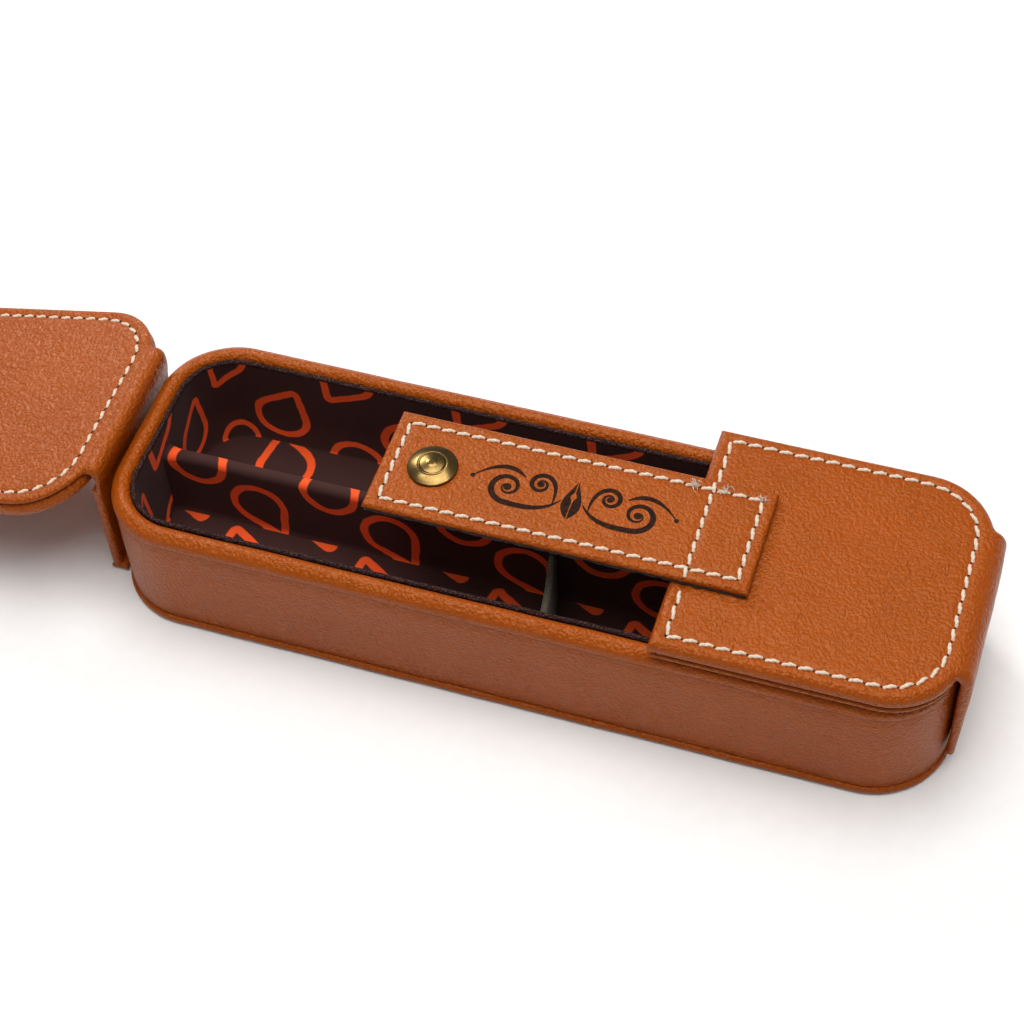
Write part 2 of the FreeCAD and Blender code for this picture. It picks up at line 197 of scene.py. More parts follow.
# ---- materials ----
def leather(name, tone, dark, light):
    """Pebbled leather: small rounded cells, a few longer creases, faint mottling."""
    n = Nodes(name)
    where = n.where()
    warped = n.shifted(where, 620.0, 3.0, (0.0016, 0.0016, 0.0016))
    cells = n.add("ShaderNodeTexVoronoi", {"Vector": warped, "Scale": 1450.0,
                                           "Smoothness": 0.6}, feature="SMOOTH_F1")
    pebble = n.sub(1.0, cells.outputs["Distance"], clamp=True)
    crease = n.add("ShaderNodeTexVoronoi", {"Vector": warped, "Scale": 560.0},
                   feature="DISTANCE_TO_EDGE")
    crease_line = n.fade(crease.outputs["Distance"], 0.0, 0.09)
    patch = n.fade(n.noise(where, 120.0, 3.0, 0.6), 0.36, 0.62)
    crease_mask = n.mul(n.sub(1.0, crease_line), patch)
    pores = n.noise(warped, 4600.0, 3.0, 0.6)
    broad = n.noise(where, 34.0, 3.0)
    base_tone = n.mix(n.fade(broad, 0.3, 0.7), (*dark, 1.0), (*tone, 1.0))
    top_tone = n.mix(n.mul(pores, 0.7), base_tone, (*light, 1.0))
    # creases are also darkened in colour, up to 16% towards a deeper tan where the patch noise lets
    # them show: painted shade in the crease lines
    colour = n.mix(n.mul(crease_mask, 0.16), top_tone, (*(0.55 * c for c in dark), 1.0))
    fine = n.bump(pores, 0.00005, 0.7)
    grained = n.bump(pebble, 0.00030, 0.85, fine)
    folds = n.bump(n.sub(1.0, crease_mask), 0.00007, 0.8, grained)
    normal = n.bump(n.noise(where, 380.0, 2.0), 0.00014, 0.5, folds)
    rough = n.fade(pores, 0.3, 0.7, 0.28, 0.40)
    return n.finish(colour, rough, normal, Specular_IOR_Level=0.40,
                    Specular_Tint=(1.0, 0.62, 0.34, 1.0))


def weave(n, where, scale, distance):
    """Bump of a plain weave from two crossed waves; returns normal and thread height."""
    inputs = {"Vector": where, "Scale": scale, "Distortion": 0.6, "Detail": 1.0}
    warp, weft = (n.add("ShaderNodeTexWave", inputs, bands_direction=axis).outputs[1]
                  for axis in "XY")
    both = n.math("MAXIMUM", warp, weft)
    return n.bump(both, distance, 0.6), both


def drop_outline(n, u, v, half_stroke):
    """1 on the outline of an ink drop centred on (0, 0), 0 elsewhere; units are mm."""
    round_r, tip_r, height = 5.6, 0.7, 8.6
    slope = (round_r - tip_r) / height
    side = math.sqrt(1.0 - slope * slope)
    x = n.math("ABSOLUTE", u)
    y = n.plus(v, 2.2)
    along = n.plus(n.mul(x, -slope), n.mul(y, side))

    def from_point(y0, r):
        dy = n.sub(y, y0)
        squares = n.plus(n.mul(x, x), n.mul(dy, dy))
        return n.sub(n.math("SQRT", squares), r)

    bowl = from_point(0.0, round_r)
    tip = from_point(height, tip_r)
    flank = n.sub(n.plus(n.mul(x, side), n.mul(y, slope)), round_r)

    def choose(test, yes, no):
        keep_no = n.mul(no, n.sub(1.0, test))
        return n.plus(n.mul(yes, test), keep_no)

    at_bowl = n.math("LESS_THAN", along, 0.0)
    at_tip = n.math("GREATER_THAN", along, side * height)
    distance = choose(at_bowl, bowl, choose(at_tip, tip, flank))
    band = n.sub(half_stroke, n.math("ABSOLUTE", distance))
    return n.mul(band, 4.0, clamp=True)


def printed_lining():
    """Dark brown satin weave, printed with staggered orange drop outlines. UV is in mm."""
    n = Nodes("printed_lining")
    uv = n.add("ShaderNodeUVMap", uv_map="cloth").outputs[0]
    split = n.add("ShaderNodeSeparateXYZ", {0: n.shifted(uv, 0.35, 1.0, (0.5, 0.5, 0.0))})
    pitch_u, pitch_v = 29.0, 27.0

    def lattice(du, dv, turn):
        """Drops on one rectangular lattice, turned by a fixed angle."""
        u = n.plus(split.outputs[0], du)
        v = n.plus(split.outputs[1], dv)
        cu = n.sub(n.math("FLOORED_MODULO", u, pitch_u), pitch_u / 2)
        cv = n.sub(n.math("FLOORED_MODULO", v, pitch_v), pitch_v / 2)
        c, s = math.cos(turn), math.sin(turn)
        ru = n.plus(n.mul(cu, c), n.mul(cv, s))
        rv = n.sub(n.mul(cv, c), n.mul(cu, s))
        return drop_outline(n, ru, rv, 1.0)

    print_mask = n.math("MAXIMUM", lattice(0.0, 0.0, math.radians(24)),
                        lattice(pitch_u / 2, pitch_v / 2, math.radians(-150)))
    normal, thread = weave(n, uv, 2.6, 0.00005)
    ink = n.mix(n.mul(thread, 0.25), (0.93, 0.105, 0.022, 1), (0.70, 0.060, 0.012, 1))
    cloth = n.mix(n.mul(thread, 0.6), (0.034, 0.013, 0.011, 1), (0.068, 0.028, 0.024, 1))
    colour = n.mix(print_mask, cloth, ink)
    return n.finish(colour, 0.72, normal, Specular_IOR_Level=0.09, Sheen_Weight=0.05,
                    Sheen_Roughness=0.4)


def webbing_material():
    """Dark olive ribbed web of the cross divider."""
    n = Nodes("olive_web")
    where = n.where()
    ribs = n.add("ShaderNodeTexWave", {"Vector": where, "Scale": 420.0, "Distortion": 1.0},
                 bands_direction="Y")
    specks = n.noise(where, 2600.0, 2.0)
    colour = n.mix(specks, (0.040, 0.034, 0.020, 1), (0.135, 0.115, 0.070, 1))
    return n.finish(colour, 0.85, n.bump(ribs.outputs[1], 0.0002, 0.7), Sheen_Weight=0.1)


def brass_material():
    """Polished brass with light ageing in its hollows and hairline scratches."""
    n = Nodes("aged_brass")
    where = n.where()
    cloud = n.noise(where, 240.0, 4.0, 0.65)
    hairs = n.noise(where, 2800.0, 3.0, 0.5)
    colour = n.ramp(cloud, [(0.3, (0.11, 0.066, 0.022, 1)), (0.7, (0.27, 0.175, 0.062, 1))])
    rough = n.fade(cloud, 0.25, 0.75, 0.30, 0.20)
    normal = n.bump(hairs, 0.00002, 0.4)
    return n.finish(colour, rough, normal, Metallic=1.0)


def flecked(name, noise_spec, stops, roughness, bump_spec, **constants):
    """Material whose colour and bump both follow one fine noise."""
    n = Nodes(name)
    grain = n.noise(n.where(), *noise_spec)
    ramp = n.ramp(grain, [(place, (*colour, 1)) for place, colour in stops])
    return n.finish(ramp, roughness, n.bump(grain, *bump_spec), **constants)


def board_material(name, low, high):
    """Pressed board or foam inside the leather: mottled, fibrous."""
    return flecked(name, (700.0, 4.0, 0.7), [(0.3, low), (0.7, high)], 0.9, (0.0002, 0.6))


TAN = (0.285, 0.0505, 0.0013)
TAN_DARK = (0.245, 0.0415, 0.0010)
TAN_LIGHT = (0.335, 0.064, 0.0026)
MATERIALS = {
    "tan": leather("tan_leather", TAN, TAN_DARK, TAN_LIGHT),
    "lining": printed_lining(),
    # turned top edge of the lining: dark twill flecked with paler threads; the pale flecks are
    # painted sheen and glints
    "edge": flecked("woven_edge_painted_sheen", (3800.0, 2.0),
                    [(0.50, (0.014, 0.006, 0.006)), (0.74, (0.15, 0.085, 0.072))],
                    0.85, (0.0001, 0.8), Specular_IOR_Level=0.03),
    "thread": flecked("cream_thread", (5200.0, 3.0),
                      [(0.3, (0.42, 0.30, 0.21)), (0.62, (0.74, 0.62, 0.49))],
                      0.8, (0.00008, 0.8), Sheen_Weight=0.08),
    "felt": flecked("black_felt", (2600.0, 4.0, 0.7),
                    [(0.3, (0.004, 0.004, 0.005)), (0.75, (0.022, 0.022, 0.024))],
                    0.95, (0.0003, 0.9), Sheen_Weight=0.15),
    "web": webbing_material(),
    "brass": brass_material(),
    "board": board_material("grey_board", (0.20, 0.18, 0.15), (0.34, 0.31, 0.27)),
    "foam": board_material("foam", (0.50, 0.48, 0.42), (0.66, 0.64, 0.58)),
    # matt hot-stamped ink, slightly worn where the grain stands up
    "ink": flecked("stamped_ink", (1500.0, 3.0),
                   [(0.35, (0.014, 0.006, 0.004)), (0.85, (0.045, 0.018, 0.010))],
                   0.75, (0.00005, 0.6), Specular_IOR_Level=0.05),
    # dark discs at the needle holes: painted shade inside the holes
    "hole": flecked("needle_hole_shade", (2000.0, 2.0),
                    [(0.3, (0.010, 0.004, 0.002)), (0.8, (0.045, 0.016, 0.008))],
                    0.95, (0.00005, 0.4)),
    # plain white sweep with the faintest tooth
    "sweep": flecked("studio_sweep", (260.0, 2.0),
                     [(0.3, (0.84, 0.837, 0.834)), (0.7, (0.86, 0.857, 0.854))],
                     0.8, (0.00005, 0.2), Specular_IOR_Level=0.15),
}


# ---- mesh helpers ----
RING_ARC_STEPS = 14      # round each corner of the tray
RING_STEP = 3.0          # along its straight walls


def add_object(name, data):
    obj = bpy.data.objects.new(name, data)
    bpy.context.scene.collection.objects.link(obj)
    return obj


def make(name, verts, faces, material="tan", uv=None):
    """Mesh object from points in mm; uv is one (u, v) in mm for each vertex."""
    mesh = bpy.data.meshes.new(name)
    mesh.from_pydata((np.asarray(verts) * MM).tolist(), [], faces)
    mesh.validate()
    mesh.shade_smooth()
    if uv is not None:
        layer = mesh.uv_layers.new(name="cloth")
        corners = np.array([loop.vertex_index for loop in mesh.loops])
        layer.data.foreach_set("uv", np.asarray(uv, float)[corners].ravel())
    mesh.materials.append(MATERIALS[material])
    obj = add_object(name, mesh)
    return obj


def fit(piece, body, *nodes):
    """Piece rides a body and takes the place of the named CAD nodes."""
    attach(piece, body)
    if nodes:
        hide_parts(*nodes)


def grid_faces(rows, cols, start=0, wrap_cols=False, flip=False):
    faces = []
    for i in range(rows - 1):
        for j in range(cols if wrap_cols else cols - 1):
            k = (j + 1) % cols
            a, b = start + i * cols + j, start + i * cols + k
            face = (a, b, b + cols, a + cols)
            faces.append(face[::-1] if flip else face)
    return faces


def run_length(points):
    """Length along a line of points, at each of them."""
    return np.r_[0, np.cumsum(np.linalg.norm(np.diff(points, axis=0), axis=1))]


def ring_face(start, count):
    return tuple(range(start, start + count))


def ripple(points, size, amount, seed):
    """Smooth unevenness, one value for each point."""
    shift = Vector((seed, seed * 1.7, seed * 0.3))
    return np.array([noise.noise(Vector(p) / size + shift) for p in points]) * amount


def plan_ring(grow):
    """Points, outward normals and length run round the tray's outline, grown by `grow`."""
    half_l, half_w, radius = HALF_L + grow, HALF_W + grow, CORNER_R + grow
    pts, nrm = [], []
    for sx, sy, a0 in ((1, 1, 0), (-1, 1, 90), (-1, -1, 180), (1, -1, 270)):
        c = np.array([sx * (half_l - radius), sy * (half_w - radius)])
        for k in range(RING_ARC_STEPS + 1):
            a = math.radians(a0 + 90 * k / RING_ARC_STEPS)
            n = np.array([math.cos(a), math.sin(a)])
            pts.append(c + n * radius)
            nrm.append(n)
        straight = 2 * abs(c[0] if a0 in (0, 180) else c[1])
        n_more = int(straight / RING_STEP)
        along = np.array([-nrm[-1][1], nrm[-1][0]])
        last = pts[-1]
        for k in range(1, n_more):
            pts.append(last + along * straight * k / n_more)
            nrm.append(nrm[-1])
    pts, nrm = np.array(pts), np.array(nrm)
    return pts, nrm, run_length(pts)


def swept(name, profile, material="tan", closed=True, uneven=0.1, seed=1.0, cloth=False):
    """Profile of (offset out from the tray's outline, height) carried round the tray."""
    pts, nrm, run = plan_ring(0.0)
    prof = np.array(profile, float)
    verts, uv = [], []
    for (off, z), down in zip(prof, run_length(prof)):
        ring = np.c_[pts + nrm * off, np.full(len(pts), z)]
        ring[:, :2] += nrm * ripple(ring, 9.0, uneven, seed)[:, None]
        verts.append(ring)
        uv.append(np.c_[run, np.full(len(pts), -down)])
    faces = grid_faces(len(prof), len(pts), wrap_cols=True)
    if closed:
        m = len(pts)
        last = (len(prof) - 1) * m
        faces += [(last + j, last + (j + 1) % m, (j + 1) % m, j) for j in range(m)]
    return make(name, np.vstack(verts), faces, material, np.vstack(uv) if cloth else None)


def arc(cx, cy, r, a0, a1, steps=8):
    """Points of an arc, angles in degrees."""
    return [(cx + r * math.cos(math.radians(a0 + (a1 - a0) * k / steps)),
             cy + r * math.sin(math.radians(a0 + (a1 - a0) * k / steps)))
            for k in range(steps + 1)]


class Track:
    """Path in the XZ plane with rounded corners, measured by length from its start."""

    def __init__(self, corners, radius=0.0):
        pts = [np.array(corners[0], float)]
        for before, here, after in zip(corners[:-2], corners[1:-1], corners[2:]):
            b, h, a = (np.array(p, float) for p in (before, here, after))
            u, w = (b - h) / np.linalg.norm(b - h), (a - h) / np.linalg.norm(a - h)
            for k in range(13):
                t = k / 12
                pts.append(h + u * radius * (1 - t) ** 2 + w * radius * t ** 2)
        pts.append(np.array(corners[-1], float))
        self.set_points(np.array(pts))

    def set_points(self, pts, step=0.2):
        run = run_length(pts)
        self.length = run[-1]
        self.s = np.linspace(0, self.length, int(self.length / step) + 2)
        self.x = np.interp(self.s, run, pts[:, 0])
        self.z = np.interp(self.s, run, pts[:, 1])
        tx, tz = np.gradient(self.x, self.s), np.gradient(self.z, self.s)
        size = np.hypot(tx, tz)
        self.nx, self.nz = -tz / size, tx / size
        return self

    def place(self, s, t, h):
        """Points at length s, sideways t and height h over the path."""
        x = np.interp(s, self.s, self.x) + h * np.interp(s, self.s, self.nx)
        z = np.interp(s, self.s, self.z) + h * np.interp(s, self.s, self.nz)
        return np.c_[x, t, z]


def outline_distance(s, t, rim):
    """Distance of points to a closed polygon, all in flattened (s, t)."""
    p = np.c_[s, t]
    best = np.full(len(p), 1e9)
    for a, b in zip(rim, np.roll(rim, -1, axis=0)):
        ab = b - a
        size = ab @ ab
        if size < 1e-12:
            continue
        k = np.clip(((p - a) @ ab) / size, 0, 1)
        best = np.minimum(best, ((p - a - k[:, None] * ab) ** 2).sum(1))
    return np.sqrt(best)


EDGE_STEPS = (0, 0.06, 0.2, 0.42, 0.7, 1.05, 1.5, 1.95, 2.3, 2.6, 2.9, 3.2, 3.6, 4.2, 5.2)
EDGE_ROLL = 0.95         # share of the half-thickness taken up by the rolled edge


def end_rows(length, body_step=1.5, extra=()):
    """Lengths at which a panel's rows lie: dense at both ends."""
    far = [length - e for e in EDGE_STEPS]
    lo, hi = EDGE_STEPS[-1], length - EDGE_STEPS[-1]
    middle = np.linspace(lo, hi, max(3, int((hi - lo) / body_step)))
    rows = np.unique(np.round(np.r_[EDGE_STEPS, far, middle, list(extra)], 3))
    return rows[(rows >= 0) & (rows <= length)]


class Panel:
    """Flat leather goods shape with rolled edges, laid along a track.

    width(s) gives the half-width, thick(s) the thickness. `seam(s, t)` is the distance to
    the stitch row, where the leather is drawn in. `sag(s, t)` shifts both faces.
    """

    def __init__(self, track, width, thick, rows, seam=None, crown=0.0, uneven=0.05,
                 seed=0.0, body_cols=18, sag=lambda s, t: 0.0):
        self.track, self.width, self.thick = track, width, thick
        self.rows, self.seam, self.crown, self.uneven = rows, seam, crown, uneven
        self.seed, self.body_cols, self.sag = seed, body_cols, sag
        w = width(rows)
        self.rim = np.vstack([np.c_[rows, w], np.c_[rows, -w][::-1]])

    def height(self, s, t, side=1.0):
        """Height of the top (side 1) or bottom (side -1) face over the track."""
        s, t = np.atleast_1d(s).astype(float), np.atleast_1d(t).astype(float)
        d = outline_distance(s, t, self.rim)
        half = self.thick(s) / 2
        r = half * EDGE_ROLL
        inset = r - np.sqrt(np.maximum(r ** 2 - (r - np.minimum(d, r)) ** 2, 0))
        h = half - inset
        if side > 0:
            h = h + self.crown * (1 - np.exp(-d / 5.0))
            if self.seam is not None:
                q = self.seam(s, t)
                drawn_in = 0.20 * np.exp(-(q / 0.75) ** 2)
                h = h - drawn_in + 0.06 * np.exp(-((q - 1.5) / 0.7) ** 2)
            fade = np.clip(d / 1.2, 0, 1)
            h = h + fade * ripple(np.c_[s, t, s * 0], 7.0, self.uneven, self.seed)
        return side * h + self.sag(s, t)

    def on_top(self, s, t, lift):
        return self.track.place(s, t, self.height(s, t) + lift)

    def build(self, name, material="tan", turn=lambda verts: verts):
        cols_edge = np.array(EDGE_STEPS)
        inner = np.linspace(0, 1, self.body_cols + 2)[1:-1]
        grid_s, grid_t = [], []
        for s, w in zip(self.rows, self.width(self.rows)):
            lead = cols_edge * min(1.0, w / 12.0)
            rest = w - lead[-1]
            t = np.r_[w - lead, rest - inner * 2 * rest, -(w - lead[::-1])]
            grid_t.append(t)
            grid_s.append(np.full(len(t), s))
        rows, cols = len(self.rows), len(grid_t[0])
        s, t = np.concatenate(grid_s), np.concatenate(grid_t)
        verts = np.vstack([self.track.place(s, t, self.height(s, t, side))
                           for side in (1.0, -1.0)])
        n = rows * cols
        faces = grid_faces(rows, cols) + grid_faces(rows, cols, start=n, flip=True)
        loop = (list(range(cols))
                + [i * cols + cols - 1 for i in range(1, rows)]
                + [(rows - 1) * cols + j for j in range(cols - 2, -1, -1)]
                + [i * cols for i in range(rows - 2, 0, -1)])
        faces += [(b, a, a + n, b + n) for a, b in zip(loop, loop[1:] + loop[:1])]
        return make(name, turn(verts), faces, material)


def steady(value):
    """Width or thickness that is the same all along a panel."""
    return lambda s: s * 0 + value


def round_corner(full, r, into):
    """Half-width at a distance into a panel whose corners have radius r."""
    into = np.clip(into, 0, r)
    return full - r + np.sqrt(np.maximum(r ** 2 - (r - into) ** 2, 0))


def corner_rows(start, r, direction=1.0):
    """Rows that follow a round corner, running from `start` into the panel."""
    return [start + direction * r * (1 - math.cos(math.pi / 2 * k / 16)) for k in range(17)]


def soft_max(a, b, k):
    """The larger of two, blended where they are within k of each other."""
    h = np.clip(0.5 + 0.5 * (a - b) / k, 0, 1)
    return b * (1 - h) + a * h + k * h * (1 - h)


# ---- stitches ----
THREAD_R = 0.39
THREAD_ARCH = 0.42       # height of a stitch's middle over its ends
THREAD_REACH = 0.485     # half a stitch, as a share of the distance between its holes
THREAD_SLANT = 9.0       # degrees from the row's line
HOLE_SLANT = 38.0
HOLE_L = 0.66            # half-length and half-width of a needle hole
HOLE_W = 0.26


def spaced(points):
    """Needle holes, a stitch apart, along an open or closed line of (s, t) points."""
    pts = np.array(points, float)
    run = run_length(pts)
    count = max(1, round(run[-1] / STITCH_PITCH))
    at = np.linspace(0, run[-1], count + 1)
    return np.c_[np.interp(at, run, pts[:, 0]), np.interp(at, run, pts[:, 1])]


def rounded_line(s0, s1, half_w, r, steps=12):
    """Closed stitch line: rectangle s0..s1 by +-half_w, its corners at s1 of radius r."""
    out = arc(s1 - r, half_w - r, r, 90, 0, steps) if r else [(s1, half_w)]
    out += arc(s1 - r, -half_w + r, r, 0, -90, steps) if r else [(s1, -half_w)]
    return out + [(s0, -half_w), (s0, half_w), out[0]]


def heading(angle):
    """Unit vectors along and across a direction."""
    c, s = math.cos(angle), math.sin(angle)
    return np.array([c, s]), np.array([-s, c])


def stitch_row(ends, surface):
    """Threads between successive needle holes, each a twisted, arched tube, and a dark disc at each
    hole as painted shade.
    """
    verts, faces = [], []
    hole_shade_v, hole_shade_f = [], []
    around, along = 10, 12
    for i, (a, b) in enumerate(zip(ends[:-1], ends[1:])):
        step = b - a
        size = np.linalg.norm(step)
        if size < 0.4 * STITCH_PITCH:
            continue
        wob = noise.noise(Vector((i * 1.37, size, 0.5)))
        line = math.atan2(step[1], step[0])
        d, side = heading(line + math.radians(THREAD_SLANT + 3.0 * wob))
        mid = (a + b) / 2
        half = THREAD_REACH * size
        base = len(verts)
        u = np.linspace(-1, 1, along)
        rise = THREAD_ARCH * (1 - np.abs(u) ** 2.4) - 0.27 + 0.05 * wob
        girth = THREAD_R * (0.50 + 0.50 * (1 - np.abs(u) ** 3.0))
        snake = 0.10 * np.sin(math.pi * u) * girth
        centre_s = mid[0] + d[0] * half * u + side[0] * snake
        centre_t = mid[1] + d[1] * half * u + side[1] * snake
        ground = surface(centre_s, centre_t)
        for k in range(along):
            for j in range(around):
                a0 = 2 * math.pi * j / around
                ply = 1 + 0.17 * math.cos(2 * a0 - u[k] * 8.0)
                off = girth[k] * ply * math.cos(a0)
                up = girth[k] * ply * math.sin(a0) * 0.82 + rise[k]
                verts.append((centre_s[k] + side[0] * off, centre_t[k] + side[1] * off,
                              ground[k] + up))
        faces += grid_faces(along, around, start=base, wrap_cols=True)
        faces.append(ring_face(base, around)[::-1])
        faces.append(ring_face(base + (along - 1) * around, around))
        # each needle hole is a flat dark disc laid just above the surface: painted shade of the
        # hole
        hole = len(hole_shade_v)
        e, f = heading(line - math.radians(HOLE_SLANT))
        level = surface(np.array([b[0]]), np.array([b[1]]))[0]
        for ring, drop in ((1.0, 0.035), (0.5, 0.02)):
            for j in range(around):
                a0 = 2 * math.pi * j / around
                q = b + e * HOLE_L * ring * math.cos(a0) + f * HOLE_W * ring * math.sin(a0)
                hole_shade_v.append((q[0], q[1], level + drop))
        hole_shade_f += grid_faces(2, around, start=hole, wrap_cols=True)
        hole_shade_f.append(ring_face(hole + around, around))
    return verts, faces, hole_shade_v, hole_shade_f


def lay_stitches(name, ends, panel, sink=0.0):
    """Thread piece and a piece of dark needle-hole discs, which are painted shade of the holes, on
    a panel's top face; sink presses the thread in.
    """
    threads, thread_faces, holes, hole_shade_faces = stitch_row(ends, panel.height)
    made = []
    for label, verts, faces, material, down in (
        (name, threads, thread_faces, "thread", sink),
        (name + "_holes", holes, hole_shade_faces, "hole", 0.0),
    ):
        s, t, h = np.array(verts).T
        made.append(make(label, panel.track.place(s, t, h - down), faces, material))
    return made


# ---- tray ----
def tray_body():
    """Outer leather up the wall, rolled over the padded rim."""
    r = 1.85  # of the rim's roll
    z = RIM_Z - RIM_SETTLED
    foot = TRAY_LO[2]
    profile = [(-1.0, foot), (-0.12, foot), (0.02, foot + 0.25), (0.06, foot + 3.0)]
    profile += [(0.10, z * 0.35), (0.10, z * 0.6), (0.02, z - 6.5), (-0.10, z - 4.9)]
    profile += [(-0.24, z - 4.25), (-0.16, z - 3.9), (0.12, z - 3.5)]
    profile += arc(-r + 0.22, z - r - 0.45, r, -30, 62, 9)
    profile += arc(-r - 0.15, z - r, r, 78, 168, 9)
    profile += [(-3.85, z - 3.4), (-3.80, z - 7.5), (-1.0, z - 7.5)]
    fit(swept("tray_skin", profile), "tray", "tray_leather")


def lining():
    """Fabric walls with the print, a turned top edge whose pale flecks are painted sheen, and the
    floor.
    """
    top = LINING_HI[2]
    out = LINING_HI[0] - HALF_L
    inner = out - LIP_LEN
    profile = [(out - 0.35, top - 0.02), (inner + 0.22, top), (inner + 0.04, top - 0.22),
               (inner, top - 1.0), (inner, top / 2), (inner, FLOOR_Z + 0.5),
               (inner - 0.35, FLOOR_Z + 0.06), (inner - 0.6, FLOOR_Z)]
    wall = swept("lining_walls", profile, "lining", closed=False, uneven=0.12, seed=4.0,
                 cloth=True)
    fit(wall, "tray", "lining_wall")
    lip = [(out, top - 1.4), (out - 0.02, top - 0.25), (out - 0.2, top + 0.10),
           (inner + 0.35, top + 0.12), (inner + 0.08, top - 0.04), (inner - 0.05, top - 0.42),
           (inner + 0.15, top - 0.9)]
    fit(swept("lining_lip", lip, "edge", uneven=0.12, seed=4.0), "tray")
    pts = plan_ring(inner + 0.1)[0]
    rings = []
    for k in (1.0, 0.93, 0.8, 0.55, 0.25):
        ring = np.c_[pts, np.full(len(pts), FLOOR_Z)]
        ring[:, 1] *= k
        ring[:, 2] += ripple(ring, 16.0, 0.15, 7.0) + (0.18 if k < 1 else 0.0)
        rings.append(ring)
    verts = np.vstack(rings)
    faces = grid_faces(len(rings), len(pts), wrap_cols=True)
    faces.append(ring_face((len(rings) - 1) * len(pts), len(pts)))
    floor = make("lining_floor_cloth", verts, faces, "lining", verts[:, :2] + [20.0, -3.5])
    fit(floor, "tray", "lining_floor")


def partition():
    """Padded wall along the middle, rounded on top, its cloth glued over the foam."""
    half = PART_HI[1]
    top = PART_HI[2]
    section = [(-half - 0.7, FLOOR_Z + 0.02), (-half - 0.12, FLOOR_Z + 0.5)]
    section += [(-half, z) for z in np.linspace(FLOOR_Z + 1.5, top - half, 6)]
    section += arc(0.0, top - half, half, 170, 10, 10)
    section += [(half, z) for z in np.linspace(top - half, FLOOR_Z + 1.5, 6)]
    section += [(half + 0.12, FLOOR_Z + 0.5), (half + 0.7, FLOOR_Z + 0.02)]
    section = np.array(section)
    run = run_length(section)
    xs = np.linspace(PART_LO[0] - 0.3, PART_HI[0] + 0.3, 60)
    verts, uv = [], []
    for x in xs:
        ends = min(x - xs[0], xs[-1] - x)
        flare = 0.55 * math.exp(-ends / 1.0)
        ring = np.c_[np.full(len(section), x), section[:, 0] * (1 + flare), section[:, 1]]
        ring[:, 1] += ripple(ring, 12.0, 0.22, 2.0)
        ring[:, 2] += ripple(ring * [1, 0, 0], 20.0, 0.25, 3.0) * (section[:, 1] > top - 3)
        verts.append(ring)
        uv.append(np.c_[np.full(len(section), x + 2.0), run - 6.0])
    faces = grid_faces(len(xs), len(section), flip=True)
    cloth = make("partition_cloth", np.vstack(verts), faces, "lining", np.vstack(uv))
    fit(cloth, "tray", "partition_fabric")


def divider():
    """Ribbed web across the near compartment, with a folded top."""
    lo, hi = span("cross_divider")
    t = 1.4
    lean = hi[0] - lo[0] - t
    section = [(-0.5 * t, FLOOR_Z)] + arc(0.0, hi[2] - 0.5 * t, 0.5 * t, 180, 0, 8)
    section += [(0.5 * t, FLOOR_Z)]
    verts = []
    ys = np.linspace(hi[1], lo[1], 14)
    for y in ys:
        k = (hi[1] - y) / (hi[1] - lo[1])
        mid = lo[0] + 0.5 * t + lean * k + 0.35 * math.sin(math.pi * k)
        for off, z in section:
            verts.append((mid + off, y, z - 0.5 * math.sin(math.pi * k) * (z > FLOOR_Z + 5)))
    web = make("divider_web", verts, grid_faces(len(ys), len(section)), "web")
    fit(web, "tray", "cross_divider")


def base():
    """Leather covered panel that stands a little proud of the wall."""
    t = BASE_TOP
    lip = 0.6
    turned_in = -12.0
    profile = [(turned_in, t), (-0.6, t), (lip - 0.75, t + 0.02)]
    profile += arc(lip - 0.8, t - 0.85, 0.85, 80, -70, 9)
    profile += [(lip - 1.6, 0.03), (turned_in, 0.0)]
    fit(swept("base_skin", profile, seed=9.0), "tray", "base_leather")
    pts = plan_ring(turned_in + 0.5)[0]
    verts = np.vstack([np.c_[pts * k, np.full(len(pts), 0.012)] for k in (1.0, 0.8, 0.5, 0.2)])
    faces = grid_faces(4, len(pts), wrap_cols=True)
    faces.append(ring_face(3 * len(pts), len(pts)))
    fit(make("base_underside", verts, faces), "tray")
    track = Track([(SPINE_LO[0], t * 0.5), (-HALF_L, t * 0.5)])
    tongue = Panel(track, steady(STRIP_W), steady(t * 0.96), end_rows(track.length, 1.0),
                   uneven=0.02)
    fit(tongue.build("base_tongue"), "tray")


# ---- pocket end ----
def distance_to(line):
    """Seam function of a panel: distance to a closed stitch line."""
    ring = np.array(line[:-1])
    return lambda s, t: outline_distance(s, t, ring)


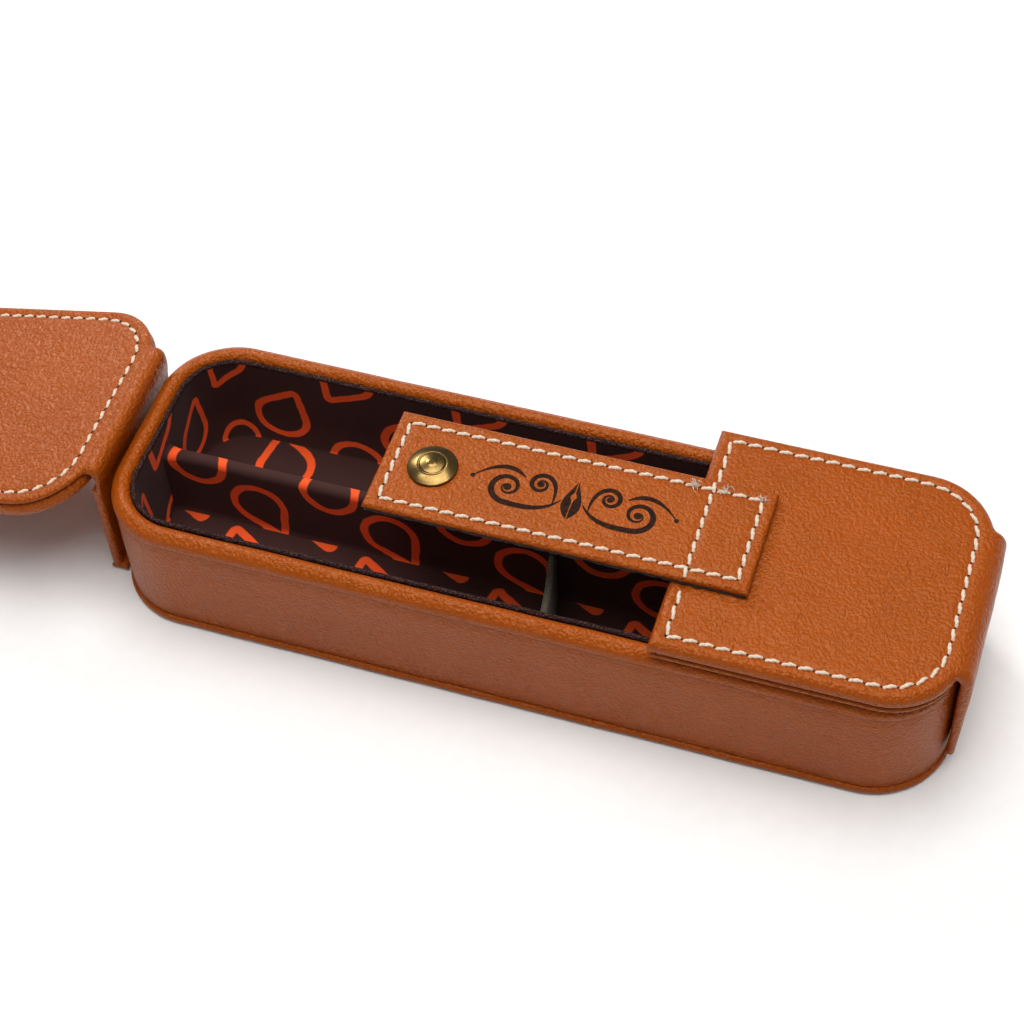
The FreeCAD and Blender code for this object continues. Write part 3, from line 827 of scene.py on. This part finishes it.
def pocket():
    """Thick top layer that runs on over the fold and down as the end strip."""
    strip_t = STRIP_HI[0] - STRIP_LO[0]
    mid_z = POCKET_HI[2] - PANEL_T / 2
    mid_x = STRIP_HI[0] - strip_t / 2
    x0 = POCKET_LO[0]
    foot = (HALF_L + 0.95, 4.6)
    track = Track([(x0, mid_z), (mid_x, mid_z), foot], radius=3.4)
    panel_end = POCKET_HI[0] - x0

    def width(s):
        body = round_corner(PANEL_HALF, PANEL_R, panel_end - s)
        strip = STRIP_W - 1.2 * np.clip((s - panel_end - 4.0) / 24.0, 0, 1)
        return soft_max(np.where(s > panel_end, 0.0, body), strip, 1.1)

    def thick(s):
        k = np.clip((s - panel_end + 1.5) / 5.0, 0, 1)
        near_foot = np.clip((s - panel_end - 8.0) / 20.0, 0, 1)
        return PANEL_T + (strip_t - PANEL_T) * k * k * (3 - 2 * k) - 0.9 * near_foot

    s_in = STITCH_INSET
    end_s = panel_end - STITCH_INSET - 0.4
    half = PANEL_HALF - STITCH_INSET
    seam = distance_to(rounded_line(s_in, end_s, half, STITCH_R, 10))
    rows = end_rows(track.length, 1.3, corner_rows(panel_end, PANEL_R, -1.0)
                    + list(np.arange(end_s - 1.2, panel_end + 7.0, 0.4)))
    panel = Panel(track, width, thick, rows, seam=seam, crown=0.18, uneven=0.16, seed=11.0,
                  body_cols=30)
    fit(panel.build("pocket_and_end_strip"), "tray", "pocket_leather", "right_strip_leather",
        "right_strip_board")

    under_z = POCKET_LO[2] - 0.75
    under_track = Track([(x0 + 0.45, under_z), (POCKET_HI[0] - 0.5, under_z)])
    under_end = under_track.length
    under_r = PANEL_R - 0.5
    under = Panel(under_track, lambda s: round_corner(PANEL_HALF - 0.35, under_r, under_end - s),
                  steady(INNER_T), end_rows(under_end, 2.0, corner_rows(under_end, under_r, -1.0)),
                  uneven=0.03)
    fit(under.build("pocket_under_leather"), "tray", "pocket_lining")

    line = rounded_line(s_in, end_s, half, STITCH_R)
    open_line = [line[-2]] + line[:-2]
    thread, holes = lay_stitches("pocket_stitches", spaced(open_line), panel)
    fit(thread, "tray", "pocket_thread")
    fit(holes, "tray")
    reach = FLAP_HI[1] + 0.9
    for label, t0, t1 in (("far", half, reach), ("near", -reach, -half)):
        ends = spaced([(s_in, t0), (s_in, t1)])
        for piece in lay_stitches(f"pocket_left_stitches_{label}", ends, panel):
            fit(piece, "tray")


# ---- closure tab ----
def bend_tab(piece):
    """Bakes a tab piece's placement into its mesh."""
    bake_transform(piece)


def tab():
    """Stitched strap with its felt backing, threads and stamped ornament."""
    x0, x1 = FLAP_LO[0], ANCHOR_HI[0]
    mid_z = ANCHOR_HI[2] - TAB_SKIN / 2
    track = Track([(x0, mid_z), (x1, mid_z)])
    half = FLAP_HI[1]
    line = rounded_line(TAB_INSET, track.length - TAB_INSET, half - TAB_INSET, 0.0)
    edge_seam = distance_to(line)
    cross = POCKET_LO[0] + STITCH_INSET - x0

    def seam(s, t):
        return np.minimum(edge_seam(s, t), np.abs(s - cross) + np.maximum(np.abs(t) - half, 0))

    near_cross = [cross + d for d in (-1.2, -0.8, -0.4, 0, 0.4, 0.8, 1.2)]
    rows = end_rows(track.length, 1.2, near_cross)
    panel = Panel(track, steady(half), steady(TAB_SKIN), rows, seam=seam, crown=0.10,
                  uneven=0.10, seed=21.0, body_cols=16)
    strap = panel.build("closure_tab")
    bend_tab(strap)
    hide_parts("tab_flap_leather", "tab_anchor_leather")

    felt_z = FELT_Z + 0.28
    felt_track = Track([(x0 + 0.3, felt_z), (x1 - 0.3, felt_z)])

    def ragged(s):
        return half + 0.02 + ripple(np.c_[s, s * 0, s * 0], 0.9, 0.28, 5.0)

    backing = Panel(felt_track, ragged, steady(TAB_FELT), end_rows(felt_track.length, 0.7))
    felt = backing.build("tab_felt_backing", "felt")
    bend_tab(felt)
    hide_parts("tab_flap_felt", "tab_anchor_felt")

    sewn = []
    for k, pair in enumerate(zip(line[:-1], line[1:])):
        sewn += lay_stitches(f"tab_stitches_{k}", spaced(pair), panel)
    cross_line = [(cross, half - 0.4), (cross, -half + 0.4)]
    sewn += lay_stitches("tab_cross_stitches", spaced(cross_line), panel)
    far = half - TAB_INSET
    sewn.append(loose_fibres("tab_loose_fibres", panel, (
        (cross - 3.6, far + 0.2, 22), (cross + 2.4, far + 0.3, 14),
        (track.length - TAB_INSET, far, 10))))
    for piece in sewn:
        bend_tab(piece)
    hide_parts("tab_flap_thread", "tab_anchor_thread")
    ornament(panel, 0.5 * (CAP_HI[0] + POCKET_LO[0]) - x0 + 0.6)


def loose_fibres(name, panel, spots, seed=7):
    """Frayed thread ends that stand up where a stitch line was finished off."""
    rng = np.random.default_rng(seed)
    verts, faces = [], []
    ring = np.linspace(0, 2 * math.pi, 6)[:-1]
    along = 7
    for s, t, count in spots:
        level = panel.height(s, t)[0] + 0.25
        for _ in range(count):
            size, way = rng.uniform(0.7, 1.7), rng.uniform(0, 2 * math.pi)
            k = np.linspace(0, 1, along)
            bend = rng.uniform(-1.4, 1.4)
            ahead = np.c_[np.cos(way + bend * k), np.sin(way + bend * k)]
            mid = np.array([s, t]) + rng.normal(0, 0.35, 2) + size * k[:, None] * ahead
            up = level + rng.uniform(0.1, 0.8) * np.sin(math.pi * k * rng.uniform(0.5, 1.0))
            thick = rng.uniform(0.05, 0.09) * (1 - 0.6 * k)
            base = len(verts)
            for (a, b), c, r in zip(mid, up, thick):
                verts += [(a + r * math.cos(q), b + r * math.cos(q), c + r * math.sin(q))
                          for q in ring]
            faces += grid_faces(along, len(ring), start=base, wrap_cols=True)
    return make(name, panel.track.place(*np.array(verts).T), faces, "thread")


def ribbon_mesh(points, widths):
    """Flat tapering ribbon along (s, t) points."""
    p = np.array(points, float)
    d = np.gradient(p, axis=0)
    d /= np.linalg.norm(d, axis=1)[:, None]
    side = np.c_[-d[:, 1], d[:, 0]]
    w = np.array(widths)[:, None] / 2
    verts = np.vstack([p + side * w, p - side * w])
    n = len(p)
    faces = [(i, i + 1, n + i + 1, n + i) for i in range(n - 1)]
    return verts, faces


def bezier(p0, p1, p2, p3, steps=30):
    t = np.linspace(0, 1, steps)[:, None]
    p0, p1, p2, p3 = (np.array(p, float) for p in (p0, p1, p2, p3))
    return ((1 - t) ** 3 * p0 + 3 * (1 - t) ** 2 * t * p1 + 3 * (1 - t) * t ** 2 * p2
            + t ** 3 * p3)


def spiral(centre, r0, r1, a0, turn, steps=44):
    """Points winding in from radius r0 to r1; angles in degrees."""
    k = np.linspace(0, 1, steps)
    r = r0 + (r1 - r0) * k ** 0.8
    a = np.radians(a0 + turn * k)
    return np.c_[centre[0] + r * np.cos(a), centre[1] + r * np.sin(a)]


def ornament(panel, middle):
    """Plain stamped decoration: a pen nib between two mirrored scrolls."""
    eyes = ((13.2, -0.55), (7.0, 1.75), (20.6, 0.4))
    big = np.vstack([bezier((2.2, -0.9), (5.0, -5.0), (9.5, -4.6), (13.2, -4.35))[:-1],
                     spiral(eyes[0], 3.8, 0.75, -90, 500)])
    small = np.vstack([bezier((3.6, -2.2), (3.4, 1.2), (4.4, 4.1), (7.0, 4.1))[:-1],
                       spiral(eyes[1], 2.35, 0.6, 90, -480)])
    tail = bezier((10.4, 2.6), (13.5, 5.2), (17.0, 4.4), eyes[2])
    verts, faces = [], []

    def add(points, new_faces):
        faces.extend([tuple(len(verts) + i for i in face) for face in new_faces])
        verts.extend(points.tolist())

    for side in (1, -1):
        for points, broad in ((big, 1.05), (small, 0.80), (tail, 0.85)):
            k = np.linspace(0, 1, len(points))
            swell = 0.22 + broad * np.sin(np.pi * k ** 0.7) ** 1.3
            add(*ribbon_mesh(points * [side, 1.0], swell))
    turn = np.linspace(0, 2 * np.pi, 17)[:-1]
    for side in (1, -1):
        for (x, y), r in zip(eyes, (0.85, 0.7, 0.5)):
            add(np.c_[side * x + r * np.cos(turn), y + r * np.sin(turn)], [range(len(turn))])
    k = np.linspace(0, 1, 22)
    n = len(k)
    flank = 1.85 * np.sin(np.pi * k ** 1.5) ** 0.8
    for side in (1, -1):
        edge = np.c_[side * (flank + 0.10), 4.4 - 9.4 * k]
        slit = np.c_[side * (0.10 + 0.55 * np.exp(-((k - 0.42) / 0.075) ** 2)), 4.4 - 9.4 * k]
        add(np.vstack([edge, slit[::-1]]),
            [(i, i + 1, 2 * n - 2 - i, 2 * n - 1 - i) for i in range(n - 1)])
    s, t = np.array(verts).T
    fit(make("stamped_ornament", panel.on_top(middle + s, t, 0.03), faces, "ink"), "tab")


def lathe(name, profile, centre, material, steps=64):
    """Turned piece: (radius, height) profile round a vertical axis."""
    verts = []
    for r, z in profile:
        for k in range(steps):
            a = 2 * math.pi * k / steps
            verts.append((centre[0] + r * math.cos(a), centre[1] + r * math.sin(a),
                          centre[2] + z))
    faces = grid_faces(len(profile), steps, wrap_cols=True)
    faces.append(ring_face(0, steps)[::-1])
    faces.append(ring_face((len(profile) - 1) * steps, steps))
    return make(name, verts, faces, material)


def button():
    """Brass cap: rolled collar, shallow dome, one ring groove and a centre boss."""
    mid = (CAP_LO + CAP_HI) / 2
    r = (CAP_HI[0] - CAP_LO[0]) / 2
    top = CAP_HI[2] - CAP_LO[2]
    rise = 1.25
    dome_r = (r ** 2 + rise ** 2) / (2 * rise)
    profile = [(r - 1.2, -0.1), (r - 0.35, -0.05)] + arc(r - 0.38, 0.32, 0.38, -70, 80, 7)

    def dome(q):
        return top - rise + math.sqrt(dome_r ** 2 - q ** 2) - (dome_r - rise)

    for q in np.linspace(r - 0.55, 0.05, 46):
        moat = 0.13 * math.exp(-((q - 2.75) / 0.20) ** 2)
        boss = 0.10 / (1 + math.exp((q - 0.95) / 0.08))
        profile.append((q, dome(q) - moat + boss - 0.10))
    cap = lathe("press_stud_cap", profile, (mid[0], mid[1], CAP_LO[2]), "brass")
    fit(cap, "tab", "snap_cap")


# ---- lid end ----
def fold_back(verts):
    """Turns points of the closed lid to its rest pose about the fold line."""
    c, s = math.cos(-OPEN), math.sin(-OPEN)
    p = np.asarray(verts) - PIVOT
    x = p[:, 0] * c + p[:, 2] * s
    z = -p[:, 0] * s + p[:, 2] * c
    return np.c_[x, p[:, 1], z] + PIVOT


def lid_outer():
    """Thick covered board of the lid, modelled closed, face down."""
    mid_z = LID_FACE + INNER_T + SEAM_GAP + PANEL_T / 2
    track = Track([(PIVOT[0] + LID_ROOT, mid_z), (PIVOT[0] + LID_LEN, mid_z)])
    rows = end_rows(track.length, 2.0, corner_rows(0.0, PANEL_R))
    panel = Panel(track, lambda s: round_corner(PANEL_HALF, PANEL_R, s), steady(PANEL_T), rows,
                  crown=0.15, uneven=0.14, seed=31.0)
    fit(panel.build("lid_outer_cover", turn=fold_back), "lid", "lid_outer_leather")


def lid_inner():
    """Inner leather: along the lid from its free end, round the fold, down the end strip."""
    r_mid = PIVOT[2] - LID_FACE - INNER_T / 2
    tilt = OPEN - math.pi
    along = np.array([-math.cos(tilt), -math.sin(tilt)])
    up = np.array([-math.sin(tilt), math.cos(tilt)])
    pivot = PIVOT[[0, 2]]
    round_r = r_mid + 0.25
    root_s = LID_LEN - 0.5
    pts = [pivot + up * r_mid + along * d for d in np.linspace(root_s, 1.2, 80)]
    pts += [pivot + round_r * np.array([math.cos(a), math.sin(a)])
            for a in np.linspace(math.pi / 2 + tilt, 0.0, 22)[1:-1]]
    pts += [pivot + [round_r - 0.9 * k * k * (3 - 2 * k), -0.4 - 7.0 * k]
            for k in np.linspace(0, 1, 24)]
    track = Track([(0, 0), (1, 0)]).set_points(np.array(pts))
    r = PANEL_R - 0.4
    start = root_s - LID_ROOT + 0.1

    def width(s):
        body = round_corner(PANEL_HALF - 0.45, r, start - s)
        return soft_max(np.where(s > start, 0.0, body), STRIP_W - 0.1, 0.9)

    s0 = STITCH_INSET - 0.5
    s1 = root_s - 3.6
    line = rounded_line(s0, s1, PANEL_HALF - STITCH_INSET, STITCH_R)
    rows = end_rows(track.length, 1.8, corner_rows(start, r, -1.0)
                    + list(np.arange(s1 - 1.6, root_s + 8, 0.35)))

    def curl(s, t):
        """The sides of the narrow fold turn in a little."""
        near_fold = np.exp(-((s - root_s - 1.5) / 3.0) ** 2)
        return -0.9 * near_fold * np.clip((np.abs(t) - 15.5) / 2.0, 0, 1) ** 2

    panel = Panel(track, width, steady(INNER_T), rows, seam=distance_to(line), crown=0.12,
                  uneven=0.10, seed=41.0, body_cols=26, sag=curl)
    piece = panel.build("lid_inner_and_fold")
    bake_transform(piece)
    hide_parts("lid_inner_leather", "lid_hinge_leather")
    ends = spaced(line)
    thread, holes = lay_stitches("lid_stitches", ends, panel, sink=STITCH_SINK)
    fit(thread, "lid", "lid_thread")
    fit(holes, "lid")


def left_strip():
    """Covered strip that stands at the lid's end of the tray."""
    thick = SPINE_HI[0] - SPINE_LO[0] + 0.2
    x = SPINE_LO[0] + thick / 2
    track = Track([(x, 0.9), (x, SPINE_HI[2])])
    panel = Panel(track, steady(STRIP_W), steady(thick), end_rows(track.length, 1.4),
                  uneven=0.12, seed=51.0)
    fit(panel.build("left_end_strip"), "tray", "left_strip_leather")


# ---- CAD nodes that stay ----
def dress_cad_nodes():
    """Boards, foam and stud pieces keep their CAD shape and get real materials."""
    finish = {
        "base_board": "board", "tray_floor": "board", "tray_wall": "board",
        "pocket_board": "board", "lid_board": "board", "right_strip_board": "board",
        "left_strip_board": "board", "rim_core": "foam", "partition_core": "foam",
        "snap_socket": "brass", "lid_snap_stud": "brass", "lid_snap_post": "brass",
    }
    for node, material in finish.items():
        for place in frame["nodes"][node].material_slots:
            place.material = MATERIALS[material]


# ---- studio ----
CAMERA_AT = (95.61, -260.03, 387.05)
CAMERA_TURN = (21.29, 52.18, 4.13)     # azimuth, elevation and roll in degrees
CAMERA_LENS = 80.98
FLOOR_HALF = 3.0                       # metres
SOFT_BOXES = (                         # name, place in metres, width, power, colour
    ("key_box", (0.02, 0.02, 1.10), 0.95, 15.0, (1.0, 0.99, 0.975)),
    ("rear_box", (-0.75, 0.72, 0.72), 0.34, 6.5, (1.0, 0.99, 0.98)),
    ("front_fill", (0.1, -0.8, 1.0), 0.80, 0.7, (1.0, 1.0, 1.0)),
)


def studio():
    """White sweep, a large soft box overhead, a small one behind and a weak front fill."""
    mesh = bpy.data.meshes.new("studio_floor")
    corners = [(x * FLOOR_HALF, y * FLOOR_HALF, 0) for x, y in ((-1, -1), (1, -1), (1, 1), (-1, 1))]
    mesh.from_pydata(corners, [], [(0, 1, 2, 3)])
    mesh.materials.append(MATERIALS["sweep"])
    floor = add_object("studio_floor", mesh)
    floor.location.z = -0.0001
    world = bpy.data.worlds.new("studio_world")
    world.use_nodes = True
    sky = world.node_tree.nodes["Background"]
    sky.inputs[0].default_value = (1.0, 0.99, 0.98, 1.0)
    sky.inputs[1].default_value = 0.20
    bpy.context.scene.world = world
    for name, place, width, power, colour in SOFT_BOXES:
        light = bpy.data.lights.new(name, "AREA")
        light.shape = "SQUARE"
        light.size = width
        light.energy = power
        light.color = colour
        lamp = add_object(name, light)
        lamp.location = place
        lamp.rotation_mode = "QUATERNION"
        lamp.rotation_quaternion = Vector(place).to_track_quat("Z", "Y")


def camera():
    """Camera from the front right and above, with a slight roll."""
    azimuth, elevation, roll = (math.radians(v) for v in CAMERA_TURN)
    back = Vector((math.sin(azimuth) * math.cos(elevation),
                   -math.cos(azimuth) * math.cos(elevation), math.sin(elevation)))
    right = Vector((math.cos(azimuth), math.sin(azimuth), 0.0))
    up = back.cross(right)
    turned_right = right * math.cos(roll) - up * math.sin(roll)
    turned_up = back.cross(turned_right)
    axes = Matrix((turned_right, turned_up, back)).transposed()
    data = bpy.data.cameras.new("camera")
    data.lens = CAMERA_LENS
    data.sensor_width = 36.0
    data.clip_start = 0.01
    eye = add_object("camera", data)
    eye.matrix_world = Matrix.Translation(Vector(CAMERA_AT) * MM) @ axes.to_4x4()
    bpy.context.scene.camera = eye


camera()
studio()
dress_cad_nodes()
tray_body()
lining()
partition()
divider()
base()
pocket()
tab()
button()
lid_outer()
lid_inner()
left_strip()


bpy.context.scene.view_settings.view_transform = "Standard"
